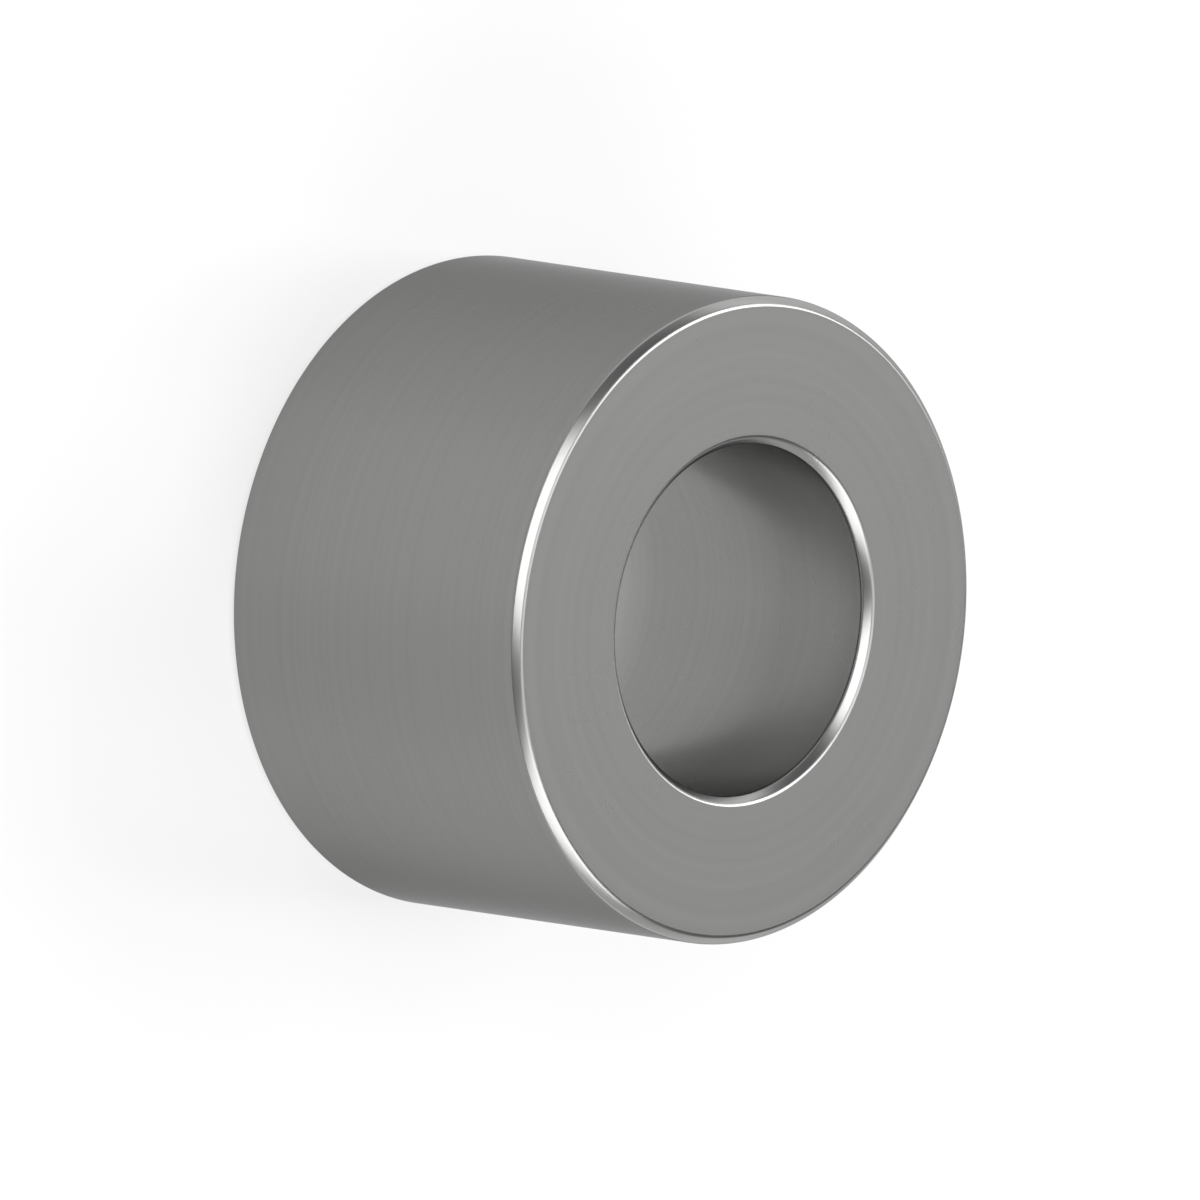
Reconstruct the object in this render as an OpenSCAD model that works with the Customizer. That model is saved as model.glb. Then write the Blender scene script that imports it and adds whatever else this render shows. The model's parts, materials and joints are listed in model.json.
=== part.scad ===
// Spacer sleeve: a short, thick-walled round tube that keeps two clamped parts a set distance apart
// on the bolt that runs through it. It is turned from round bar in one piece, and both ends are faced
// and chamfered alike. It stands on one end face, with its axis along Z and the origin in that face.

/* [Sleeve] */
// Outer diameter of the tube
outer_d = 24; // [20:0.5:60]
// Diameter of the through bore
bore_d = 13; // [4:0.1:16]
// Length over the two end faces, which is the gap that the sleeve keeps
sleeve_length = 14.8; // [3:0.1:80]

/* [Edges] */
// Radial width of the chamfer round the rim of each end
rim_chamfer = 0.3; // [0.2:0.05:0.8]
// Radial width of the chamfer round each mouth of the bore
mouth_chamfer = 0.3; // [0.2:0.05:0.8]
// Slope of the chamfers away from the end faces, in degrees
chamfer_angle = 45; // [30:1:60]
// Radius to which the corners of the chamfers are rounded off
corner_radius = 0.2; // [0.02:0.01:0.2]

/* [Hidden] */

// Steps in the drawn outline of the turned tube, and of one rounded corner's whole circle
TURN_STEPS = 180;
CORNER_STEPS = 48;

outer_r = outer_d / 2;
bore_r = bore_d / 2;
rim_r = outer_r - rim_chamfer;
mouth_r = bore_r + mouth_chamfer;
rim_depth = rim_chamfer * tan(chamfer_angle);
mouth_depth = mouth_chamfer * tan(chamfer_angle);

// Sharp corners of half the section, right of the axis, as [radius, height] and counterclockwise
CORNERS = [
    [mouth_r, 0],
    [rim_r, 0],
    [outer_r, rim_depth],
    [outer_r, sleeve_length - rim_depth],
    [rim_r, sleeve_length],
    [mouth_r, sleeve_length],
    [bore_r, sleeve_length - mouth_depth],
    [bore_r, mouth_depth]
];

// Direction of the side that starts at corner i; each index wraps round the section
function corner(i) = CORNERS[(i + len(CORNERS)) % len(CORNERS)];
function side(i) = (corner(i + 1) - corner(i)) / norm(corner(i + 1) - corner(i));

// Distance from corner i to where its rounding meets the two sides
function setback(i) = corner_radius * tan(acos(side(i - 1) * side(i)) / 2);

// Ends of the rounding at corner i, and the middle of its arc, which lies to the left of the side
function arc_start(i) = corner(i) - setback(i) * side(i - 1);
function arc_end(i) = corner(i) + setback(i) * side(i);
function arc_middle(i) = arc_start(i) + corner_radius * [-side(i - 1).y, side(i - 1).x];

// Half the section of the tube, its corners cut across and then filled out to true arcs
module half_section() {
    corner_numbers = [0 : len(CORNERS) - 1];
    polygon([for (i = corner_numbers) each [arc_start(i), arc_end(i)]]);
    for (i = corner_numbers)
        translate(arc_middle(i))
            circle(r = corner_radius, $fn = CORNER_STEPS);
}

// The tube, turned from half its section
module sleeve() {
    color([0.57, 0.57, 0.56])
        rotate_extrude($fn = TURN_STEPS)
            half_section();
}

sleeve();
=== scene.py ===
"""A turned spacer sleeve that stands on one end on a plain pale floor, under soft studio light."""

import json
import math

import bpy
from bpy.props import FloatProperty, FloatVectorProperty, IntProperty, PointerProperty
from mathutils import Matrix, Vector


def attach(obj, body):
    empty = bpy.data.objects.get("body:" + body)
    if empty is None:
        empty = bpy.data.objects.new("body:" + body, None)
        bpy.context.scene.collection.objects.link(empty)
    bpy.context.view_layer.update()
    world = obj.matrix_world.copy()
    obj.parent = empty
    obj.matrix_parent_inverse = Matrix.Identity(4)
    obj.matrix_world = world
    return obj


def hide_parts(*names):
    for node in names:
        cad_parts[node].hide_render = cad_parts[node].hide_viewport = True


bl_info = {
    "name": "Spacer sleeve",
    "version": (1, 0, 0),
    "blender": (4, 5, 0),
    "location": "3D View > Sidebar > Spacer sleeve",
    "description": "Turns a spacer sleeve and sets a plain studio round it",
    "category": "Add Mesh",
}

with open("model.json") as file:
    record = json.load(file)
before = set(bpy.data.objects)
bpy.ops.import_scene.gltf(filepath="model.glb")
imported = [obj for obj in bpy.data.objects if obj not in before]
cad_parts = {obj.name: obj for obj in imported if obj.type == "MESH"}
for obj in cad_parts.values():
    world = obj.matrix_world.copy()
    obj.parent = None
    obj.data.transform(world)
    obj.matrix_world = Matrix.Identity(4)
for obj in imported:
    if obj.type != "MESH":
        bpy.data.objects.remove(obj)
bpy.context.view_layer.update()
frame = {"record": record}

MM = 0.001
SLEEVE_BODY = "root"
SLEEVE_NODE = "sleeve"

CHAMFER_ANGLE = math.radians(45)
# Points closer together than this become one
WELD_DISTANCE = 0.001 * MM
# The Weighted Normal modifier's highest weight: the largest faces decide the normals at their edges
LARGEST_FACES_DECIDE = 100

# Where each change from one finish to the next begins and ends: outside the bore's radius, inside the
# outer radius and below an end face for the painted highlight on the chamfers, and away from mid length
# for the painted light near the bore's mouths, this last as shares of the length
BORE_FADE = (0.02 * MM, 0.06 * MM)
WALL_FADE = (0.035 * MM, 0.012 * MM)
FACE_FADE = (0.0003 * MM, 0.002 * MM)
MOUTH_FADE = (0.2, 0.42)
# Turning lines crossed on the way outwards, for each one crossed on as long a way along the axis
LINES_OUTWARDS = 0.62

# The Mix node's two colours, by number: its inputs for numbers and vectors have the same names
FIRST_COLOUR = 6
SECOND_COLOUR = 7

# Each lamp's name, its azimuth and elevation, half its width and half its height as the sleeve sees it,
# all in degrees, and its brightness, where 1 is plain white. Azimuth 0 is -Y and azimuth 90 is +X
LAMPS = (
    ("left_softbox", 336.6, 49.6, 24.4, 18.3, 2.5),
    ("right_softbox", 90.9, 44.6, 24.2, 19.6, 2.4),
    ("back_softbox", 210.3, 43.1, 20.4, 16.2, 2.3),
    ("back_fill", 212.8, 56.7, 18.0, 22.3, 1.0),
    ("top_softbox", 189.7, 87.4, 20.5, 13.1, 1.2),
    ("low_softbox", 235.2, 14.2, 13.3, 6.5, 0.7),
)

# The picture's side, the sleeve's outer radius in it, and where the centre of the shoulder between
# wall and upper chamfer lies, across and down, all in pixels
PICTURE_PX = 1200
RADIUS_PX = 326.45
SHOULDER_PX = (738.25, 620.04)


def mount(name):
    """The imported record's mount of that name."""
    return next(m for m in frame["record"]["mounts"] if m["name"] == name)


BORE_RADIUS = mount("bore")["dims"]["r_mm"] * MM
OUTER_RADIUS = mount("outer_wall")["dims"]["r_mm"] * MM
LENGTH = mount("upper_face")["pos_m"][2] - mount("lower_face")["pos_m"][2]


class Wire:
    """One output of a shader node, for use in Python expressions: each operator adds a Math node."""

    def __init__(self, graph, socket):
        self.graph = graph
        self.socket = socket

    def output(self, name):
        """The output of that name on the same node."""
        return Wire(self.graph, self.socket.node.outputs[name])

    def math(self, operation, *values):
        """A Math node of that operation, which takes the values in their order."""
        return self.graph.node("ShaderNodeMath", {"operation": operation}, dict(enumerate(values)))

    def __add__(self, other):
        return self.math("ADD", self, other)

    def __radd__(self, other):
        return self.math("ADD", other, self)

    def __sub__(self, other):
        return self.math("SUBTRACT", self, other)

    def __rsub__(self, other):
        return self.math("SUBTRACT", other, self)

    def __mul__(self, other):
        return self.math("MULTIPLY", self, other)

    def __rmul__(self, other):
        return self.math("MULTIPLY", other, self)


class Graph:
    """The node tree of a material or of the world, emptied and ready to be filled."""

    def __init__(self, owner):
        owner.use_nodes = True
        self.tree = owner.node_tree
        self.tree.nodes.clear()

    def node(self, kind, settings=None, inputs=None):
        """Adds a node with these settings and inputs, and returns its first live output, if any."""
        made = self.tree.nodes.new(kind)
        for name, value in (settings or {}).items():
            setattr(made, name, value)
        for name, value in (inputs or {}).items():
            if isinstance(value, Wire):
                self.tree.links.new(value.socket, made.inputs[name])
            else:
                made.inputs[name].default_value = value
        live = [output for output in made.outputs if output.enabled]
        return Wire(self, live[0]) if live else None

    def fade(self, value, start, end):
        """Rises smoothly from 0 to 1 as the value goes from start to end."""
        limits = {"Value": value, "From Min": start, "From Max": end}
        return self.node("ShaderNodeMapRange", {"interpolation_type": "SMOOTHSTEP"}, limits)

    def mix(self, share, first, second, blend="MIX"):
        """The first colour, with that share of the second."""
        colours = {"Factor": share, FIRST_COLOUR: first, SECOND_COLOUR: second}
        return self.node("ShaderNodeMix", {"data_type": "RGBA", "blend_type": blend}, colours)

    def join(self, share, first, second):
        """The first shader, with that share of the second."""
        return self.node("ShaderNodeMixShader", inputs={0: share, 1: first, 2: second})


class SleeveSizes(bpy.types.PropertyGroup):
    """Sizes and finish of the turned sleeve"""

    outer_radius: FloatProperty(
        name="Outer radius", description="Radius of the outer wall", default=OUTER_RADIUS, unit="LENGTH"
    )
    bore_radius: FloatProperty(
        name="Bore radius", description="Radius of the through bore", default=BORE_RADIUS, unit="LENGTH"
    )
    length: FloatProperty(
        name="Length", description="Length over the two end faces", default=LENGTH, unit="LENGTH"
    )
    chamfer: FloatProperty(
        name="Chamfer",
        description="Width of the 45 degree chamfer at each edge",
        default=0.3 * MM,
        unit="LENGTH",
    )
    corner_radius: FloatProperty(
        name="Corner radius",
        description="Radius that rounds off the two corners of each chamfer",
        default=0.2 * MM,
        unit="LENGTH",
    )
    turn_steps: IntProperty(
        name="Steps round", description="Faces in one turn of the sleeve", default=288, min=24, max=720
    )
    corner_steps: IntProperty(
        name="Steps in a corner", description="Faces across one rounded corner", default=6, min=1, max=16
    )
    steel_colour: FloatVectorProperty(
        name="Steel colour",
        description="Colour of the bare turned steel",
        default=(0.255, 0.255, 0.251),
        subtype="COLOR",
        min=0,
        max=1,
    )
    # Painted highlight: the chamfers get a brighter colour than the steel, standing in for the bright
    # reflections on them
    edge_highlight_colour: FloatVectorProperty(
        name="Edge colour",
        description="Colour of the chamfers, which are brightened by painted light",
        default=(0.5, 0.5, 0.494),
        subtype="COLOR",
        min=0,
        max=1,
    )
    bore_colour: FloatVectorProperty(
        name="Bore colour",
        description="Colour of the bore's wall round mid length",
        default=(0.335, 0.335, 0.33),
        subtype="COLOR",
        min=0,
        max=1,
    )
    # Painted light: the bore's wall is brighter near its two mouths, lightening the shade that falls
    # there
    mouth_light_colour: FloatVectorProperty(
        name="Mouth colour",
        description="Colour of the bore's wall near its two mouths, where it is brightened by painted light",
        default=(0.44, 0.44, 0.434),
        subtype="COLOR",
        min=0,
        max=1,
    )
    steel_roughness: FloatProperty(
        name="Roughness",
        description="Roughness of the satin turned finish",
        default=0.28,
        min=0,
        max=1,
        subtype="FACTOR",
    )
    bore_roughness: FloatProperty(
        name="Bore roughness",
        description="Roughness of the bore's wall",
        default=0.27,
        min=0,
        max=1,
        subtype="FACTOR",
    )
    feed: FloatProperty(
        name="Feed",
        description="Spacing of the fine lines that the turning tool leaves",
        default=0.3 * MM,
        unit="LENGTH",
    )
    line_depth: FloatProperty(
        name="Line depth",
        description="Depth of the tool's fine lines",
        default=0.0006 * MM,
        unit="LENGTH",
    )
    line_shade: FloatProperty(
        name="Line shade",
        description="How much darker the steel is in a line",
        default=0.08,
        min=0,
        max=1,
        subtype="FACTOR",
    )
    cloud_size: FloatProperty(
        name="Cloud size",
        description="Size of the soft clouds in the finish",
        default=4 * MM,
        unit="LENGTH",
    )
    cloud_roughness: FloatProperty(
        name="Cloud roughness",
        description="How far the roughness wanders over the clouds",
        default=0.05,
        min=0,
        max=1,
        subtype="FACTOR",
    )
    edge_tint: FloatProperty(
        name="Edge tint",
        description="How bright the steel reflects at grazing angles",
        default=0.5,
        min=0,
        max=1,
        subtype="FACTOR",
    )
    bore_edge_tint: FloatProperty(
        name="Bore edge tint",
        description="How bright the bore reflects at grazing angles",
        default=0.9,
        min=0,
        max=1,
        subtype="FACTOR",
    )


class StudioSizes(bpy.types.PropertyGroup):
    """Camera, floor and light"""

    view_from_axis: FloatProperty(
        name="View off the axis",
        description="Angle between the line of sight and the sleeve's axis",
        default=math.radians(46.27),
        subtype="ANGLE",
    )
    axis_fall: FloatProperty(
        name="Fall of the axis",
        description="Angle by which the axis falls below the level in the picture, towards the near end",
        default=math.radians(8.2687),
        subtype="ANGLE",
    )
    camera_distance: FloatProperty(
        name="Camera distance",
        description="How far the camera stands from the sleeve; it shows no perspective",
        default=10 * OUTER_RADIUS,
        unit="LENGTH",
    )
    floor_size: FloatProperty(
        name="Floor", description="Side of the square floor", default=20, unit="LENGTH"
    )
    floor_colour: FloatVectorProperty(
        name="Floor colour",
        description="Colour of the plain floor",
        default=(0.85, 0.85, 0.85),
        subtype="COLOR",
        min=0,
        max=1,
    )
    floor_roughness: FloatProperty(
        name="Floor roughness",
        description="Roughness of the floor's satin sheen",
        default=0.25,
        min=0,
        max=1,
        subtype="FACTOR",
    )
    floor_sheen: FloatProperty(
        name="Floor sheen",
        description="Share of the light that the satin floor mirrors",
        default=0.04,
        min=0,
        max=1,
        subtype="FACTOR",
    )
    floor_white: FloatProperty(
        name="Floor white",
        description="Share of plain white in what the camera and the reflections see of the floor",
        default=0.68,
        min=0,
        max=1,
        subtype="FACTOR",
    )
    lamp_distance: FloatProperty(
        name="Lamp distance",
        description="How far the lamps stand from the sleeve",
        default=2.5,
        unit="LENGTH",
    )
    room_light: FloatProperty(
        name="Room light",
        description="Brightness of the room round the lamps",
        default=0.1,
        min=0,
        max=2,
    )
    horizon_light: FloatProperty(
        name="Horizon light",
        description="Brightness of the room at the horizon",
        default=0.8,
        min=0,
        max=4,
    )
    horizon_height: FloatProperty(
        name="Horizon height",
        description="Angle above the horizon at which its light has faded into the room's",
        default=math.radians(24),
        subtype="ANGLE",
    )


def start_piece():
    """Deselects everything, so that the next primitive is edited alone."""
    bpy.ops.object.select_all(action="DESELECT")


def half_section(sizes):
    """Half the sleeve's section, as a closed outline in the XZ plane on the +X side of the axis."""
    wall = sizes.outer_radius - sizes.bore_radius
    start_piece()
    bpy.ops.mesh.primitive_plane_add(
        size=1,
        location=(sizes.bore_radius + wall / 2, 0, sizes.length / 2),
        rotation=(math.radians(90), 0, 0),
    )
    section = bpy.context.object
    bpy.ops.transform.resize(value=(wall, 1, sizes.length), orient_type="GLOBAL")
    bpy.ops.object.transform_apply(location=True, rotation=True, scale=True)
    bpy.ops.object.mode_set(mode="EDIT")
    bpy.ops.mesh.select_all(action="SELECT")
    bpy.ops.mesh.bevel(offset=sizes.chamfer, segments=1, affect="VERTICES")
    bpy.ops.mesh.select_all(action="SELECT")
    bpy.ops.mesh.bevel(
        offset=sizes.corner_radius * math.tan(CHAMFER_ANGLE / 2),
        segments=sizes.corner_steps,
        affect="VERTICES",
    )
    bpy.ops.mesh.select_all(action="SELECT")
    bpy.ops.mesh.delete(type="ONLY_FACE")
    bpy.ops.object.mode_set(mode="OBJECT")
    return section


def bare_steel(graph, colour, roughness, edge_tint, bumps):
    """Bare metal of one colour, with its brightness at grazing angles."""
    return graph.node(
        "ShaderNodeBsdfPrincipled",
        inputs={
            "Base Color": colour,
            "Metallic": 1,
            "Roughness": roughness,
            "Specular Tint": (edge_tint, edge_tint, edge_tint, 1),
            "Normal": bumps,
        },
    )


def turned_steel(sizes):
    """Bare steel with faint turning lines and clouds. The chamfers carry a painted highlight and the
    bore's mouths painted light.
    """
    material = bpy.data.materials.new("turned_steel")
    graph = Graph(material)
    place = graph.node("ShaderNodeTexCoord").output("Object")
    height = graph.node("ShaderNodeSeparateXYZ", inputs={"Vector": place}).output("Z")
    across = graph.node("ShaderNodeVectorMath", {"operation": "MULTIPLY"}, {0: place, 1: (1, 1, 0)})
    radius = graph.node("ShaderNodeVectorMath", {"operation": "LENGTH"}, {0: across})
    from_middle = height - sizes.length / 2
    off_middle = from_middle.math("ABSOLUTE", from_middle)
    from_end = sizes.length / 2 - off_middle
    bore, outer = sizes.bore_radius, sizes.outer_radius
    in_bore = 1 - graph.fade(radius, bore + BORE_FADE[0], bore + BORE_FADE[1])
    # Painted light: the share of the brighter mouth colour, near the bore's two mouths
    painted_mouth_light = graph.fade(off_middle, sizes.length * MOUTH_FADE[0], sizes.length * MOUTH_FADE[1])
    off_wall = 1 - graph.fade(radius, outer - WALL_FADE[0], outer - WALL_FADE[1])
    # Painted highlight: the share of the brighter chamfer colour, on the chamfers
    chamfer_highlight = off_wall * graph.fade(from_end, FACE_FADE[0], FACE_FADE[1])
    # Changes along walls, faces and chamfers alike, so that each carries lines round the axis
    travel = height + radius * LINES_OUTWARDS
    lines = graph.node(
        "ShaderNodeTexNoise",
        {"noise_dimensions": "1D"},
        {"W": travel * (1 / sizes.feed), "Scale": 1, "Detail": 1, "Roughness": 0.5},
    )
    clouds = graph.node(
        "ShaderNodeTexNoise", inputs={"Vector": place, "Scale": 1 / sizes.cloud_size, "Detail": 3}
    )
    shade = sizes.line_shade * (1 - lines)
    wander = (clouds - 0.5) * sizes.cloud_roughness
    bumps = graph.node("ShaderNodeBump", inputs={"Distance": sizes.line_depth, "Height": lines})

    def finish(plain, bright, share, roughness, edge_tint):
        """Lined and clouded steel of the plain colour, with that share of the bright one, which is
        painted light.
        """
        colour = graph.mix(share, (*plain, 1), (*bright, 1))
        lined = graph.mix(shade, colour, (0, 0, 0, 1), "MULTIPLY")
        return bare_steel(graph, lined, roughness + wander, edge_tint, bumps)

    # Outside: the chamfers carry a painted highlight
    outside = finish(
        sizes.steel_colour, sizes.edge_highlight_colour, chamfer_highlight, sizes.steel_roughness, sizes.edge_tint
    )
    # Inside: the bore near its mouths carries painted light
    inside = finish(
        sizes.bore_colour, sizes.mouth_light_colour, painted_mouth_light, sizes.bore_roughness, sizes.bore_edge_tint
    )
    graph.node("ShaderNodeOutputMaterial", inputs={"Surface": graph.join(in_bore, outside, inside)})
    return material


def plain_floor(studio):
    """A pale satin floor that shows white to the camera and in reflections, and keeps a soft shadow."""
    material = bpy.data.materials.new("plain_floor")
    graph = Graph(material)
    path = graph.node("ShaderNodeLightPath")
    in_mirror = path.output("Is Glossy Ray")
    in_glass = path.output("Is Transmission Ray")
    seen = path.output("Is Camera Ray") + in_mirror + in_glass
    paint = graph.node("ShaderNodeBsdfDiffuse", inputs={"Color": (*studio.floor_colour, 1)})
    white = graph.node("ShaderNodeEmission", inputs={"Color": (1, 1, 1, 1), "Strength": 1})
    surface = graph.join(seen * studio.floor_white, paint, white)
    sheen = graph.node(
        "ShaderNodeBsdfGlossy",
        inputs={
            "Color": (studio.floor_sheen, studio.floor_sheen, studio.floor_sheen, 1),
            "Roughness": studio.floor_roughness,
        },
    )
    both = graph.node("ShaderNodeAddShader", inputs={0: surface, 1: sheen})
    graph.node("ShaderNodeOutputMaterial", inputs={"Surface": both})
    return material


def soft_room(studio):
    """A dim room with a band of light along the horizon, and plain white below it."""
    world = bpy.data.worlds.new("soft_room")
    graph = Graph(world)
    towards = graph.node("ShaderNodeTexCoord").output("Generated")
    height = graph.node("ShaderNodeSeparateXYZ", inputs={"Vector": towards}).output("Z")
    above = graph.fade(height.math("ARCSINE", height), 0, studio.horizon_height)
    below = height.math("LESS_THAN", height, 0)
    light = studio.horizon_light + above * (studio.room_light - studio.horizon_light)
    strength = light + below * (1 - studio.horizon_light)
    sky = graph.node("ShaderNodeBackground", inputs={"Color": (1, 1, 1, 1), "Strength": strength})
    graph.node("ShaderNodeOutputWorld", inputs={"Surface": sky})
    return world


def soft_lamp(studio, name, azimuth, elevation, half_width, half_height, brightness):
    """A soft rectangular lamp that faces the sleeve, placed and sized by angles in degrees."""
    turn = math.radians(azimuth)
    rise = math.radians(elevation)
    towards = Vector((math.cos(rise) * math.sin(turn), -math.cos(rise) * math.cos(turn), math.sin(rise)))
    across = Vector((math.cos(turn), math.sin(turn), 0))
    data = bpy.data.lights.new(name, "AREA")
    data.shape = "RECTANGLE"
    data.size = 2 * studio.lamp_distance * math.tan(math.radians(half_width))
    data.size_y = 2 * studio.lamp_distance * math.tan(math.radians(half_height))
    data.energy = math.pi * data.size * data.size_y * brightness
    lamp = bpy.data.objects.new(name, data)
    turned = Matrix((across, towards.cross(across), towards)).transposed().to_4x4()
    lamp.matrix_world = Matrix.Translation(studio.lamp_distance * towards) @ turned
    lamp.visible_camera = False
    bpy.context.scene.collection.objects.link(lamp)


def picture_camera(scene, studio, sizes):
    """An orthographic camera, rolled so that the upright sleeve lies across the picture."""
    off = studio.view_from_axis
    fall = studio.axis_fall
    back = Vector((0, -math.sin(off), math.cos(off)))
    along = Vector((0, math.cos(off), math.sin(off)))
    right = math.cos(fall) * along - math.sin(fall) * Vector((1, 0, 0))
    up = back.cross(right)
    pixel = sizes.outer_radius / RADIUS_PX
    shoulder = Vector((0, 0, sizes.length - sizes.chamfer))
    across = (SHOULDER_PX[0] - PICTURE_PX / 2) * pixel
    down = (SHOULDER_PX[1] - PICTURE_PX / 2) * pixel
    place = shoulder - across * right + down * up + studio.camera_distance * back
    data = bpy.data.cameras.new("camera")
    data.type = "ORTHO"
    data.ortho_scale = PICTURE_PX * pixel
    data.clip_start = studio.camera_distance / 100
    data.clip_end = studio.floor_size
    camera = bpy.data.objects.new("camera", data)
    turned = Matrix((right, up, back)).transposed().to_4x4()
    camera.matrix_world = Matrix.Translation(place) @ turned
    scene.collection.objects.link(camera)
    scene.camera = camera


class SLEEVE_OT_turn(bpy.types.Operator):
    """Turn the sleeve from half its section"""

    bl_idname = "spacer.turn_sleeve"
    bl_label = "Turn the sleeve"

    def execute(self, context):
        sizes = context.scene.spacer_sleeve
        sleeve = half_section(sizes)
        bpy.ops.object.mode_set(mode="EDIT")
        bpy.ops.mesh.select_all(action="SELECT")
        bpy.ops.mesh.spin(
            steps=sizes.turn_steps, angle=math.tau, center=(0, 0, 0), axis=(0, 0, 1), use_auto_merge=True
        )
        bpy.ops.mesh.select_all(action="SELECT")
        bpy.ops.mesh.remove_doubles(threshold=WELD_DISTANCE)
        bpy.ops.mesh.normals_make_consistent(inside=False)
        bpy.ops.object.mode_set(mode="OBJECT")
        bpy.ops.object.shade_smooth()
        level = sleeve.modifiers.new("level_faces", "WEIGHTED_NORMAL")
        level.weight = LARGEST_FACES_DECIDE
        bpy.ops.object.modifier_apply(modifier=level.name)
        sleeve.name = "turned_sleeve"
        sleeve.data.materials.append(turned_steel(sizes))
        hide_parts(SLEEVE_NODE)
        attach(sleeve, SLEEVE_BODY)
        return {"FINISHED"}


class SLEEVE_OT_studio(bpy.types.Operator):
    """Set the floor, the light and the camera"""

    bl_idname = "spacer.set_studio"
    bl_label = "Set the studio"

    def execute(self, context):
        scene = context.scene
        studio = scene.spacer_studio
        scene.view_settings.view_transform = "Standard"
        start_piece()
        bpy.ops.mesh.primitive_plane_add(size=studio.floor_size, location=(0, 0, 0))
        floor = context.object
        floor.name = "floor"
        floor.data.materials.append(plain_floor(studio))
        scene.world = soft_room(studio)
        for lamp in LAMPS:
            soft_lamp(studio, *lamp)
        picture_camera(scene, studio, scene.spacer_sleeve)
        return {"FINISHED"}


class SLEEVE_PT_panel(bpy.types.Panel):
    """Sizes and steps of the spacer sleeve"""

    bl_label = "Spacer sleeve"
    bl_space_type = "VIEW_3D"
    bl_region_type = "UI"
    bl_category = "Spacer sleeve"

    def draw(self, context):
        for group, step in (
            (context.scene.spacer_sleeve, SLEEVE_OT_turn),
            (context.scene.spacer_studio, SLEEVE_OT_studio),
        ):
            box = self.layout.box()
            for name in group.__annotations__:
                box.prop(group, name)
            box.operator(step.bl_idname)


CLASSES = (SleeveSizes, StudioSizes, SLEEVE_OT_turn, SLEEVE_OT_studio, SLEEVE_PT_panel)


def register():
    for made in CLASSES:
        bpy.utils.register_class(made)
    bpy.types.Scene.spacer_sleeve = PointerProperty(type=SleeveSizes)
    bpy.types.Scene.spacer_studio = PointerProperty(type=StudioSizes)


def unregister():
    del bpy.types.Scene.spacer_studio
    del bpy.types.Scene.spacer_sleeve
    for made in reversed(CLASSES):
        bpy.utils.unregister_class(made)


def main():
    register()
    bpy.ops.spacer.turn_sleeve()
    bpy.ops.spacer.set_studio()


if __name__ == "__main__":
    main()
